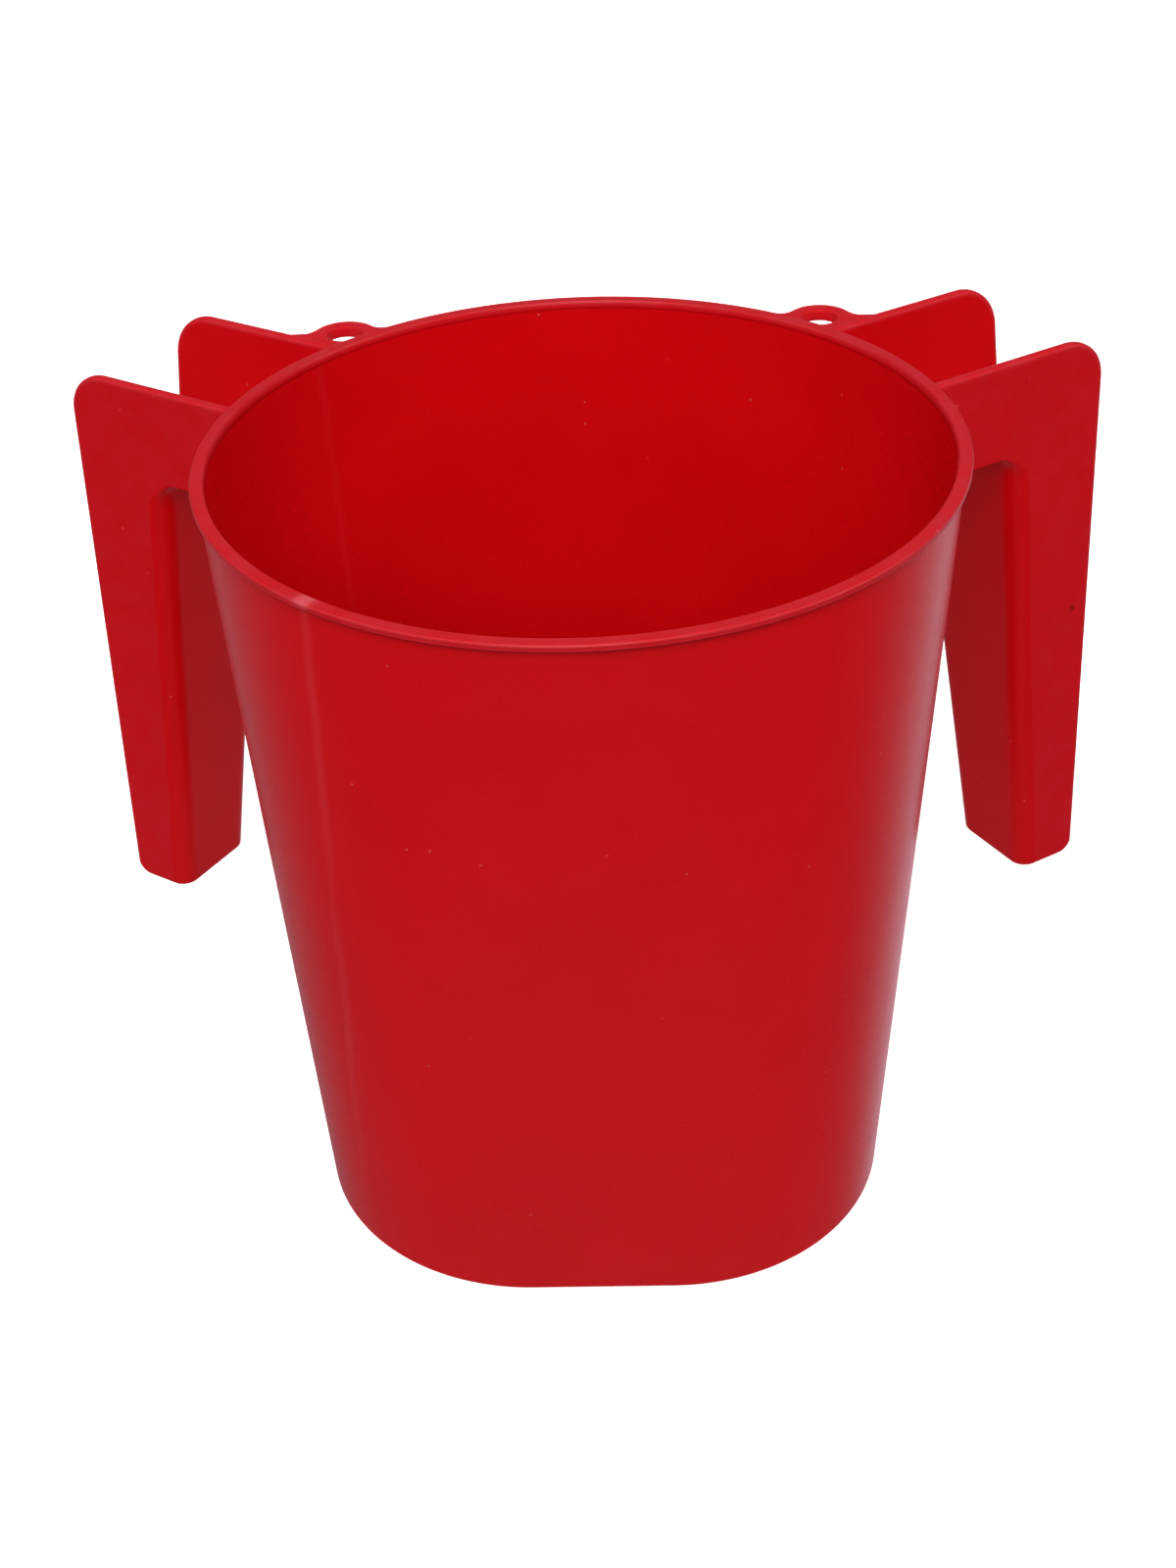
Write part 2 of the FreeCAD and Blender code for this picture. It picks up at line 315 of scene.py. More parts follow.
def rim_bead(material):
    """Bead round the mouth, with its rolled inner edge, a groove and a lip on the outside."""
    inner = RIM_RADIUS - BEAD_WIDTH
    # The third number is wear, and also painted highlight that makes the bead's top paler
    profile = [(inner + 0.3, WALL_TOP - 0.4, 0.0), (inner, WALL_TOP, 0.0)]   # radius, height, wear
    for angle in arc(0, 90, 9)[1:]:
        profile.append((inner + BEAD_INNER_ROUND * (1 - math.cos(angle)),
                        CUP_HEIGHT - BEAD_INNER_FALL * (1 - math.sin(angle)),
                        math.sin(angle)))
    for angle in arc(90, 0, 5):
        profile.append((RIM_RADIUS - BEAD_OUTER_ROUND * (1 - math.cos(angle)),
                        CUP_HEIGHT - BEAD_OUTER_ROUND * (1 - math.sin(angle)), 1.0))
    profile += [(RIM_RADIUS - inset, CUP_HEIGHT - drop, wear) for inset, drop, wear in BEAD_OUTSIDE]

    points, wear = [], []
    for radius, z, rubbed in profile:
        on_lip = z < CUP_HEIGHT - 0.8 and radius > WALL_TOP_RADIUS + 0.3
        for j in range(BEAD_COLUMNS):
            angle = 2 * math.pi * j / BEAD_COLUMNS
            r = radius
            if on_lip:
                r -= LIP_RIPPLE * (1 + math.sin(23 * angle + 1.3) * math.sin(7 * angle))
                for azimuth, depth in NICKS:
                    r -= depth * near(angle, azimuth, NICK_HALF_LENGTH)
            r = min(r, *(radius_clear_of(hole, angle) for hole in HOLES.values()))
            points.append((r * math.cos(angle), r * math.sin(angle), z))
            scuff = near(angle, SCUFF_AZIMUTH, SCUFF_HALF_LENGTH)
            wear.append(rubbed * (1 + SCUFF_WEAR * scuff))
    faces = ring_faces(len(profile), BEAD_COLUMNS, closed_rows=True)

    # The nub: a small bent horn of flash that stands out of the bead's outer edge
    start = len(points)
    turn = math.radians(NUB_AZIMUTH)
    for past_rim, rise, thick in NUB_PATH:
        for j in range(NUB_SIDES):
            angle = 2 * math.pi * j / NUB_SIDES
            out = RIM_RADIUS + past_rim + 0.4 * thick * math.cos(angle)
            side = 1.3 * thick * math.sin(angle)
            points.append((out * math.cos(turn) - side * math.sin(turn),
                           out * math.sin(turn) + side * math.cos(turn),
                           CUP_HEIGHT + rise + 0.6 * thick * math.cos(angle)))
            wear.append(TRIM_WEAR)
    faces += ring_faces(len(NUB_PATH), NUB_SIDES, start)
    faces.append(tuple(range(start, start + NUB_SIDES)))
    faces.append(tuple(range(len(points) - NUB_SIDES, len(points))))
    return new_piece("bead", points, faces, material, ["rim_bead"], wear)


# ---------------------------------------------------------------- handles

HANDLE_RISE = HANDLE_TOP - GRIP_BOTTOM
LEAN = (WIDTH_AT_TOP - WIDTH_AT_BOTTOM) / 2 / HANDLE_RISE      # of the side plates
WEB_SLOPE = (WEB_AT_BOTTOM - WEB_AT_TOP) / (BRIDGE_UNDERSIDE - GRIP_BOTTOM)
EDGE_SLOPE = (REACH_AT_BOTTOM - REACH_AT_TOP) / HANDLE_RISE


def from_handle_frame(points):
    """Points of the right handle, given as (radial, across towards the front, height)."""
    turn = math.radians(HANDLE_AZIMUTH)
    radial, across, z = points[..., 0], points[..., 1], points[..., 2]
    x = radial * math.cos(turn) + across * math.sin(turn)
    y = radial * math.sin(turn) - across * math.cos(turn)
    return np.stack([x, y, z], -1)


def half_width(z):
    return lerp(WIDTH_AT_BOTTOM, WIDTH_AT_TOP, (z - GRIP_BOTTOM) / HANDLE_RISE) / 2


def web_face(z):
    return lerp(WEB_AT_BOTTOM, WEB_AT_TOP,
                (z - GRIP_BOTTOM) / (BRIDGE_UNDERSIDE - GRIP_BOTTOM))


def outer_edge(z):
    return lerp(REACH_AT_BOTTOM, REACH_AT_TOP, (z - GRIP_BOTTOM) / HANDLE_RISE)


def elbow_centre():
    """Centre of the arc from the bridge's underside to the grip, as (radial, height)."""
    tilt = math.atan(WEB_SLOPE)
    z = BRIDGE_UNDERSIDE - ELBOW_ROUND
    return web_face(z) - ELBOW_ROUND / math.cos(tilt), z


def down_share(share):
    """Rows down the grip lie closer together near the elbow."""
    return share ** 1.6


def edge_path(low_z):
    """Free edge of a side plate as two lists of (radial, height, outward angle in degrees): from
    above the elbow round the top corner to height low_z, and on round the bottom corner."""
    tilt = math.degrees(math.atan(EDGE_SLOPE))
    slope = math.radians(tilt)
    top_z = HANDLE_TOP - TOP_ROUND
    top_radial = outer_edge(top_z) - TOP_ROUND / math.cos(slope)
    low_centre_z = GRIP_BOTTOM + BOTTOM_ROUND
    low_radial = outer_edge(low_centre_z) - BOTTOM_ROUND / math.cos(slope)
    upper = [(lerp(elbow_centre()[0], top_radial, i / 7), HANDLE_TOP, 90) for i in range(7)]
    for angle in arc(90, tilt, 20):
        upper.append((top_radial + TOP_ROUND * math.cos(angle),
                      top_z + TOP_ROUND * math.sin(angle), math.degrees(angle)))
    corner_z = upper[-1][1]
    for i in range(1, 9):
        z = lerp(corner_z, low_z, i / 8)
        upper.append((outer_edge(z), z, tilt))
    lower = []
    arc_start = low_centre_z + BOTTOM_ROUND * math.sin(slope)
    for i in range(1, 21):
        z = lerp(low_z, arc_start, down_share(i / 20))
        lower.append((outer_edge(z), z, tilt))
    for angle in arc(tilt, -90, 10)[1:]:
        lower.append((low_radial + BOTTOM_ROUND * math.cos(angle),
                      low_centre_z + BOTTOM_ROUND * math.sin(angle), math.degrees(angle)))
    return upper, lower


def half_section(base, ruling, edge, corner_radius, plate_inset):
    """Section from a plate's free edge to the middle of the channel's base, in handle points.
    ruling is the angle, in degrees, in which the section's plane rises from the base."""
    angle = math.radians(ruling)
    step = np.array([math.cos(angle), math.sin(angle)])
    corner = half_width(base[1]) - plate_inset
    up = np.array([LEAN * step[1], 1.0])
    up /= np.hypot(*up)
    opening = math.acos(-up[0])
    tangent = corner_radius / math.tan(opening / 2)
    bisector = np.array([up[0] - 1, up[1]])
    bisector /= np.hypot(*bisector)
    centre = np.array([corner, 0]) + bisector * corner_radius / math.sin(opening / 2)

    def at(across, rise):
        return (base[0] + rise * step[0], across, base[1] + rise * step[1])

    top = np.array(at(0, tangent * up[1]))[[0, 2]]
    edge_point = np.array(edge[:2]) - PLATE_EDGE_ROUND * np.array(
        [math.cos(math.radians(edge[2])), math.sin(math.radians(edge[2]))])
    points = []
    length = np.hypot(*(top - edge_point))
    shares = [0, 0.4 / length, 0.12, 0.28, 0.44, 0.6, 0.76, 0.9, 1 - 0.3 / length]
    for share in shares:
        radial, z = lerp(edge_point, top, share)
        points.append((radial, half_width(z) - plate_inset, z))
    start = math.atan2(*(np.array([corner, 0]) + up * tangent - centre)[::-1])
    for i in range(9):
        turn = lerp(start, -math.pi / 2, i / 8)
        points.append(at(centre[0] + corner_radius * math.cos(turn),
                         centre[1] + corner_radius * math.sin(turn)))
    flat_end = corner - tangent
    for share in (0.05, 0.35, 0.7, 1.0):
        points.append(at(flat_end * (1 - share), 0))
    return np.array(points)


def full_section(*arguments):
    half = half_section(*arguments)
    rear = half[-2::-1] * np.array([1, -1, 1])
    return np.concatenate([half, rear])


def channel_skin(inside):
    """Rows of sections, from the bridge's end at the elbow to the grip's lower end."""
    tilt = math.atan(WEB_SLOPE)
    tilt_degrees = math.degrees(tilt)
    centre = elbow_centre()
    plate_inset = PLATE * math.hypot(1, LEAN) if inside else 0
    offset = PLATE if inside else 0
    corner_high = BRIDGE_INNER_CORNER if inside else BRIDGE_CORNER
    corner_low = GRIP_CORNER - PLATE if inside else GRIP_CORNER
    web_top = centre[1] + (ELBOW_ROUND + offset) * math.sin(tilt)
    upper, lower = edge_path(centre[1] + ELBOW_ROUND * math.sin(tilt))
    elbow_length = ELBOW_ROUND * (math.pi / 2 - tilt)

    def corner_at(way):
        return lerp(corner_high, corner_low, smooth((way - CORNER_GROWS_FROM) / CORNER_GROWS_OVER))

    rows = []
    last = len(upper) - 1
    for i, edge in enumerate(upper):
        share = i / last
        angle = lerp(90, tilt_degrees, share)
        radius = ELBOW_ROUND + offset
        base = (centre[0] + radius * math.cos(math.radians(angle)),
                centre[1] + radius * math.sin(math.radians(angle)))
        corner = corner_at(share * elbow_length)
        rows.append(full_section(base, lerp(90, 0, share), edge, corner, plate_inset))
    bend = GRIP_BOTTOM + BOTTOM_ROUND
    foot = GRIP_BOTTOM + PLATE_EDGE_ROUND
    straight = len(lower) - 10
    for i, edge in enumerate(lower):
        if i < straight:
            z = lerp(web_top, bend, down_share((i + 1) / straight))
        else:
            z = lerp(bend, foot, (i + 1 - straight) / 10)
        base = (web_face(z) + offset / math.cos(tilt), z)
        corner = corner_at(elbow_length + web_top - z)
        rows.append(full_section(base, 0, edge, corner, plate_inset))
    return np.array(rows)


def wall_rows(section, inward):
    """Rows from inside the cup's wall, over a narrow neck and along the bridge to the section.
    inward are the skin's normals in the section, into the plastic, in handle points."""
    low = np.full(len(section), 0.6 * RIM_RADIUS)
    high = np.full(len(section), 1.25 * RIM_RADIUS)
    for _ in range(40):
        middle = (low + high) / 2
        trial = section.copy()
        trial[:, 0] = middle
        outside = wall_distance(from_handle_frame(trial)) > 0
        high = np.where(outside, middle, high)
        low = np.where(outside, low, middle)
    corner = section.copy()
    corner[:, 0] = high
    corner = from_handle_frame(corner)
    normal = wall_normal(corner)
    inward = from_handle_frame(inward)
    along_wall = inward - (inward * normal).sum(-1, keepdims=True) * normal
    along_wall /= np.linalg.norm(along_wall, axis=-1, keepdims=True)
    out = from_handle_frame(np.array([1.0, 0, 0]))
    size = lerp(0.05, WALL_NECK, 1 - smooth((section[:, 2] - WALL_TOP + 4) / 3))[:, None]
    on_wall = corner + along_wall * size
    on_skin = corner + out * size
    rows = [on_wall - normal * SUNK, on_wall]
    for t in (0.2, 0.4, 0.6, 0.8):
        rows.append((1 - t) ** 2 * on_wall + 2 * t * (1 - t) * corner + t * t * on_skin)
    rows.append(on_skin)
    end = from_handle_frame(section)
    for share in (0.06, 0.3, 0.6, 0.94):
        rows.append(lerp(on_skin, end, share))
    return np.array(rows)


def section_normals(section, sign):
    """Normals of the bridge's section in its own plane; sign 1 points out of the channel."""
    ahead = np.roll(section, -1, 0) - np.roll(section, 1, 0)
    ahead[0] = section[1] - section[0]
    ahead[-1] = section[-1] - section[-2]
    normal = np.stack([np.zeros(len(section)), -ahead[:, 2], ahead[:, 1]], -1)
    return sign * normal / np.linalg.norm(normal, axis=-1, keepdims=True)


def rounded_edge(first, last, out):
    """Points over a plate's free edge, from one face to the other."""
    across = (last - first) / np.linalg.norm(last - first)
    near_side = [first + PLATE_EDGE_ROUND * (out * math.sin(angle) + across * (1 - math.cos(angle)))
                 for angle in arc(0, 90, 4)[1:]]
    far_side = [last + PLATE_EDGE_ROUND * (out * math.sin(angle) - across * (1 - math.cos(angle)))
                for angle in arc(90, 0, 4)[:-1]]
    return near_side + far_side


def handle(side, material):
    """Channel-shaped handle: two plates and the base between them, with every edge rounded."""
    outer, inner = channel_skin(False), channel_skin(True)
    grids = []
    for skin, sign in ((outer, 1), (inner, -1)):
        lead = wall_rows(skin[0], section_normals(skin[0], -sign))
        grids.append(np.concatenate([lead, from_handle_frame(skin)]))
    rows, columns = grids[0].shape[:2]
    lead_rows = rows - len(outer)
    upper, lower = edge_path(elbow_centre()[1])
    edge_angles = [90] * lead_rows + [edge[2] for edge in upper + lower]

    points = [p for grid in grids for p in grid.reshape(-1, 3)]
    wear = []
    for rubbed in (PLATE_WEAR, 0.0):            # outside, inside
        for i in range(rows):
            for j in range(columns):
                from_edge = min(j, columns - 1 - j)
                edge = from_edge == 0 or i == rows - 1
                wear.append(1.0 if edge else rubbed if from_edge < PLATE_COLUMNS else 0.0)

    def index(skin, i, j):
        return (skin * rows + i) * columns + j

    def outward(i, side_sign):
        angle = math.radians(edge_angles[i])
        way = np.array([math.cos(angle), side_sign * LEAN * math.sin(angle), math.sin(angle)])
        return way / np.linalg.norm(way)

    faces = []
    for skin in (0, 1):
        for i in range(rows - 1):
            for j in range(columns - 1):
                faces.append((index(skin, i, j), index(skin, i, j + 1),
                              index(skin, i + 1, j + 1), index(skin, i + 1, j)))

    border = [(i, 0, outward(i, 1)) for i in range(rows)]
    border += [(rows - 1, j, np.array([0, 0, -1.0])) for j in range(1, columns - 1)]
    border += [(i, columns - 1, outward(i, -1)) for i in reversed(range(rows))]
    edge_rows = []
    for i, j, way in border:
        rounded = rounded_edge(grids[0][i, j], grids[1][i, j], from_handle_frame(way))
        start = len(points)
        edge_rows.append([index(0, i, j), *range(start, start + len(rounded)), index(1, i, j)])
        points += rounded
        wear += [1.0] * len(rounded)
    for here, ahead in zip(edge_rows, edge_rows[1:]):
        for k in range(len(here) - 1):
            faces.append((here[k], here[k + 1], ahead[k + 1], ahead[k]))
    for j in range(columns - 1):
        faces.append((index(0, 0, j), index(0, 0, j + 1), index(1, 0, j + 1), index(1, 0, j)))
    faces += [tuple(edge_rows[0]), tuple(edge_rows[-1])]

    points = np.array(points)
    if side == "left":
        points = points * np.array([-1, 1, 1])
    nodes = [f"{side}_{row}_{part}_plate" for row in ("front", "rear")
             for part in ("bridge", "grip")]
    return new_piece(f"{side}_handle", points, faces, material,
                     nodes + [f"{side}_grip_web", f"{side}_bridge_soffit"], wear)


# ---------------------------------------------------------------- hanging tabs

def round_union(a, b, radius):
    """Union of two distances with a round fillet between them."""
    fillet = np.hypot(np.maximum(radius - a, 0), np.maximum(radius - b, 0))
    return np.maximum(radius, np.minimum(a, b)) - fillet


def tab_outline(hole):
    """Directions from the hole's centre, and in each the distance to the tab's outline."""
    plate_face = half_width(HANDLE_TOP - 1)
    angles = np.arange(TAB_COLUMNS) * 2 * math.pi / TAB_COLUMNS
    reach = np.arange(TAB_HOLE_RADIUS + 0.35, 16.0, 0.01)
    radial = hole[0] + reach[None, :] * np.cos(angles)[:, None]
    across = hole[1] + reach[None, :] * np.sin(angles)[:, None]
    lug = np.broadcast_to(reach - TAB_RADIUS, radial.shape)
    to_plate = -across - plate_face
    to_bead = np.hypot(radial, across) - RIM_RADIUS
    shape = np.minimum(round_union(lug, to_plate, TAB_PLATE_BLEND),
                       round_union(lug, to_bead, TAB_BEAD_BLEND))
    stop = (shape > 0) | (to_plate < -1.0) | (to_bead < -1.2)
    return angles, reach[np.argmax(stop, axis=1)]


def hanging_tab(side, material):
    """Lug with a round hole, its outline flowing into the bead and the rear bridge plate."""
    azimuth = math.atan2(HOLES["right"]["pos_m"][1], HOLES["right"]["pos_m"][0])
    turn = azimuth - math.radians(HANDLE_AZIMUTH)
    distance = math.hypot(*HOLES["right"]["pos_m"][:2]) / MM
    hole = (distance * math.cos(turn), -distance * math.sin(turn))
    angles, reaches = tab_outline(hole)
    rounding = np.minimum(TAB_EDGE_ROUND, 0.3 * (reaches - TAB_HOLE_RADIUS))
    top = HANDLE_TOP - TAB_TOP_DROP
    # The loop goes up the hole, out over the top, down the outline and back in. Each corner has
    # its edge's reach and height, and the way inwards and upwards from there to its arc's centre.
    corners = [(TAB_HOLE_RADIUS, top, 1, -1, 0, 90), (reaches, top, -1, -1, 90, 0),
               (reaches, TAB_BOTTOM, -1, 1, 0, 90), (TAB_HOLE_RADIUS, TAB_BOTTOM, 1, 1, 90, 0)]
    rows = []
    for edge, level, inwards, upwards, first, last in corners:
        for angle in arc(first, last, 3):
            reach = edge + inwards * rounding * (1 - math.cos(angle))
            z = level + upwards * rounding * (1 - math.sin(angle))
            rows.append(from_handle_frame(np.stack([hole[0] + reach * np.cos(angles),
                                                    hole[1] + reach * np.sin(angles), z], -1)))
    points = np.concatenate(rows)
    if side == "left":
        points = points * np.array([-1, 1, 1])
    faces = ring_faces(len(rows), TAB_COLUMNS, closed_rows=True)
    return new_piece(f"{side}_tab", points, faces, material,
                     [f"{side}_hanging_tab"], np.full(len(points), TRIM_WEAR))


# ---------------------------------------------------------------- materials

class Nodes:
    """Short calls that add shader nodes to a material."""

    def __init__(self, name):
        self.material = bpy.data.materials.new(name)
        self.material.use_nodes = True
        self.tree = self.material.node_tree
        self.shader = self.tree.nodes["Principled BSDF"]

    def add(self, kind, **settings):
        node = self.tree.nodes.new(kind)
        for key, value in settings.items():
            setattr(node, key, value)
        return node

    def put(self, socket, value):
        """Sets a socket to a number or links it to another node's socket."""
        if isinstance(value, bpy.types.NodeSocket):
            self.tree.links.new(value, socket)
        else:
            socket.default_value = value

    def math(self, operation, a, b=0.0, clamp=False):
        node = self.add("ShaderNodeMath", operation=operation, use_clamp=clamp)
        self.put(node.inputs[0], a)
        self.put(node.inputs[1], b)
        return node.outputs[0]

    def stretch(self, vector, scale):
        node = self.add("ShaderNodeVectorMath", operation="MULTIPLY")
        self.put(node.inputs[0], vector)
        self.put(node.inputs[1], scale)
        return node.outputs[0]

    def noise(self, vector, scale, detail, roughness=0.5):
        node = self.add("ShaderNodeTexNoise")
        for name, value in (("Vector", vector), ("Scale", scale), ("Detail", detail),
                            ("Roughness", roughness)):
            self.put(node.inputs[name], value)
        return node.outputs["Fac"]

    def range(self, value, low, high, to_low=0.0, to_high=1.0):
        node = self.add("ShaderNodeMapRange", clamp=True, interpolation_type="SMOOTHSTEP")
        for i, number in enumerate((value, low, high, to_low, to_high)):
            self.put(node.inputs[i], number)
        return node.outputs[0]

    def mix(self, share, a, b):
        node = self.add("ShaderNodeMix", data_type="RGBA")
        self.put(node.inputs[0], share)
        self.put(node.inputs[6], a)
        self.put(node.inputs[7], b)
        return node.outputs[2]

    def bump(self, height, distance, below=None):
        node = self.add("ShaderNodeBump")
        self.put(node.inputs["Height"], height)
        self.put(node.inputs["Distance"], distance)
        if below is not None:
            self.put(node.inputs["Normal"], below)
        return node.outputs["Normal"]


RED = (0.620, 0.0020, 0.0050, 1)
DEEP_RED = (0.577, 0.0016, 0.0040, 1)
PALE_RED = (0.500, 0.030, 0.044, 1)
# Pale red of the specks and the scuff, also used for the pale lines of painted highlight
SCUFF_AND_HIGHLIGHT_RED = (0.720, 0.120, 0.140, 1)
# Dark red of the painted shade in the dent's hollow
DENT_SHADE_RED = (0.180, 0.0010, 0.0020, 1)
PLASTIC_IOR = 1.49

SPECK_CELLS = 0.25         # per mm
SPECK_CHOICE = 0.88        # a cell has a speck if its random number is over this
SPECK_HEIGHT = 0.015       # mm
DENT_RADIUS = (0.95, 1.5)  # mm, of its floor and of its rim, before the ragged edge is added
DENT_DEPTH = 0.05          # mm

# Pale lines of painted highlight, where the flat of the wall turns into a rounded corner: top and
# bottom of each line, the side that it lies on, how far it spreads and how pale it is
PAINTED_HIGHLIGHT_LINES = [((-41.0, -49.0, WALL_TOP), (-39.0, -33.0, 12.0), -1, 1.7, 0.085),
              ((-47.5, 40.0, WALL_TOP), (-38.0, 33.0, 12.0), 1, 1.3, 0.022)]


def red_plastic(name, roughness, specular, wear_amount, depth=1.0, painted_highlight_lines=(), dent=None):
    """Moulded polypropylene: mottled red, fine grain, sparse specks, worn edges (on the bead also a
    painted highlight), pale lines of painted highlight and painted shade in a dent. depth scales the
    red; dent is a place in millimetres."""
    n = Nodes(name)
    place = n.add("ShaderNodeTexCoord").outputs["Object"]
    mm = n.stretch(place, (1 / MM,) * 3)

    cloudy = n.range(n.noise(mm, 0.03, 3.0, 0.55), 0.3, 0.7)
    mottled = n.noise(mm, 0.5, 1.0, 0.6)
    tone = n.math("ADD", n.math("MULTIPLY", cloudy, 0.7), n.math("MULTIPLY", mottled, 0.3))
    colour = n.mix(tone, (DEEP_RED[0] * depth, *DEEP_RED[1:]), (RED[0] * depth, *RED[1:]))

    specks = speck_marks(n, mm)
    # Specks, then pale lines of painted highlight down the wall on top of them
    blemish_and_highlight = n.math("MULTIPLY", specks, 0.45)
    for *line, paleness in painted_highlight_lines:
        highlight = painted_highlight_line(n, mm, *line)
        blemish_and_highlight = n.math("MAXIMUM", blemish_and_highlight, n.math("MULTIPLY", highlight, paleness))
    colour = n.mix(blemish_and_highlight, colour, SCUFF_AND_HIGHLIGHT_RED)

    # The wear attribute is 1 on a worn edge and more on a scuff; on the bead it is also painted
    # highlight on the top and the lip
    worn = n.add("ShaderNodeAttribute", attribute_name="wear").outputs["Fac"]
    rubbed = n.range(n.noise(mm, 0.22, 4.0, 0.65), 0.25, 0.75)
    wear = n.math("MULTIPLY", worn, n.math("ADD", n.math("MULTIPLY", rubbed, 0.7), 0.3))
    colour = n.mix(n.math("MULTIPLY", wear, wear_amount), colour, PALE_RED)
    colour = n.mix(n.range(worn, 1.1, 3.2, 0.0, 0.55), colour, SCUFF_AND_HIGHLIGHT_RED)

    gloss = n.math("MULTIPLY", n.noise(mm, 0.12, 4.0, 0.6), 0.1)
    gloss = n.math("ADD", gloss, roughness - 0.05)
    gloss = n.math("ADD", gloss, n.math("MULTIPLY", wear, 0.08), clamp=True)
    n.put(n.shader.inputs["Roughness"], gloss)

    # Heights in mm: slow sway, orange peel, fine grain
    surface = None
    for scale, detail, height in ((0.045, 1.0, 0.16), (0.30, 1.0, 0.004), (1.2, 0.0, 0.0004)):
        surface = n.bump(n.noise(mm, scale, detail), height * MM, surface)
    surface = n.bump(specks, SPECK_HEIGHT * MM, surface)
    if dent is not None:
        # Dent pressed in by a bump; its hollow is darkened with painted shade
        dent_and_shade = dent_mark(n, mm, dent)
        colour = n.mix(n.math("MULTIPLY", dent_and_shade, 0.6), colour, DENT_SHADE_RED)
        surface = n.bump(n.math("SUBTRACT", 1.0, dent_and_shade), DENT_DEPTH * MM, surface)
    n.put(n.shader.inputs["Base Color"], colour)
    n.put(n.shader.inputs["Normal"], surface)
    n.shader.inputs["IOR"].default_value = PLASTIC_IOR
    n.shader.inputs["Specular IOR Level"].default_value = specular
    return n.material


def speck_marks(n, mm):
    """One small dot in some of the cells of a pattern, seen where it lies at the surface."""
    cells = n.add("ShaderNodeTexVoronoi")
    n.put(cells.inputs["Vector"], mm)
    n.put(cells.inputs["Scale"], SPECK_CELLS)
    chance = n.add("ShaderNodeSeparateColor")
    n.put(chance.inputs[0], cells.outputs["Color"])
    dot = n.range(cells.outputs["Distance"], 0.04, 0.08, 1.0, 0.0)
    return n.math("MULTIPLY", dot, n.math("GREATER_THAN", chance.outputs[0], SPECK_CHOICE))


def dent_mark(n, mm, dent):
    """1 in a small ragged dent, 0 outside it."""
    away = n.add("ShaderNodeVectorMath", operation="DISTANCE")
    n.put(away.inputs[0], mm)
    n.put(away.inputs[1], dent)
    ragged = n.math("ADD", away.outputs["Value"], n.noise(mm, 1.4, 1.0))
    return n.range(ragged, *DENT_RADIUS, 1.0, 0.0)


def painted_highlight_line(n, mm, top, bottom, way_out, spread):
    """Faint pale line of painted highlight down the wall from top to bottom, where the flat turns
    into a rounded corner. It shows on the side of the cup that way_out points to, which is the y
    axis with a sign."""
    top, bottom = Vector(top), Vector(bottom)
    across = (bottom - top).cross(Vector((top.x, top.y, 0))).normalized()
    plane = n.add("ShaderNodeVectorMath", operation="DOT_PRODUCT")
    wobble = n.math("MULTIPLY", n.noise(n.stretch(mm, (0.02, 0.02, 0.03)), 1.0, 1.0), 2.0)
    n.put(plane.inputs[0], mm)
    n.put(plane.inputs[1], across)
    away = n.math("SUBTRACT", n.math("ADD", plane.outputs["Value"], wobble), across.dot(top) + 1.0)
    line = n.range(n.math("ABSOLUTE", away), 0.15, spread, 1.0, 0.0)
    split = n.add("ShaderNodeSeparateXYZ")
    n.put(split.inputs[0], mm)
    here = n.math("GREATER_THAN", n.math("MULTIPLY", split.outputs["Y"], way_out), 20.0)
    left = n.math("LESS_THAN", split.outputs["X"], 0.0)
    breaks = n.range(n.noise(n.stretch(mm, (0.1, 0.1, 0.04)), 1.0, 2.0), 0.3, 0.6)
    return n.math("MULTIPLY", n.math("MULTIPLY", line, breaks), n.math("MULTIPLY", here, left))


def floor_material():
    n = Nodes("studio_floor")
    place = n.add("ShaderNodeTexCoord").outputs["Object"]
    n.put(n.shader.inputs["Base Color"],
          n.mix(n.noise(place, 3.0, 2.0), FLOOR_GREY, FLOOR_WHITE))
    n.shader.inputs["Roughness"].default_value = 0.9
    n.shader.inputs["Emission Color"].default_value = (1, 1, 1, 1)
    n.shader.inputs["Emission Strength"].default_value = FLOOR_GLOW
    n.shader.inputs["Specular IOR Level"].default_value = 0.1
    return n.material


# ---------------------------------------------------------------- stage

FLOOR_GREY = (0.90, 0.90, 0.90, 1)
FLOOR_WHITE = (0.92, 0.92, 0.92, 1)
FLOOR_GLOW = 0.58          # keeps the floor white away from the lights
FLOOR_RADIUS = 2.4
BACKDROP_BEND = 1.0        # radius of the curve from the floor up into the backdrop
BACKDROP_TOP = 4.0
# Strength of the surroundings in each direction
SKY_IN_FRONT = 0.10
SKY_BEHIND = 0.10
STRAIGHT_DOWN = 0.25
LOW_IN_FRONT = 0.18
LOW_BEHIND_LEFT = 0.32
LOW_BEHIND_RIGHT = 0.95
SKY_TINT = (1.0, 0.90, 1.04, 1)
# Name, place, size, power and whether it shows in reflections. The bounces stand for the light
# that a pale floor throws up, so they come through the floor, which casts no shadow.
LIGHTS = [("key_light", (-0.1, -1.1, 1.1), 0.8, 15.0, True),
          ("high_light", (0.0, -0.6, 1.4), 0.8, 6.0, True),
          ("left_light", (-1.1, -0.2, 0.8), 0.8, 4.2, True),
          ("right_light", (1.1, -0.2, 0.8), 0.8, 5.7, True),
          ("back_light", (0.0, 1.3, 0.25), 0.8, 11.0, False),
          ("floor_bounce", (0.0, 0.0, -0.5), 1.2, 2.5, False),
          ("front_bounce", (0.0, -0.5, -0.5), 0.8, 0.50, False)]
LIGHT_TARGET = Vector((0, 0, 0.08))


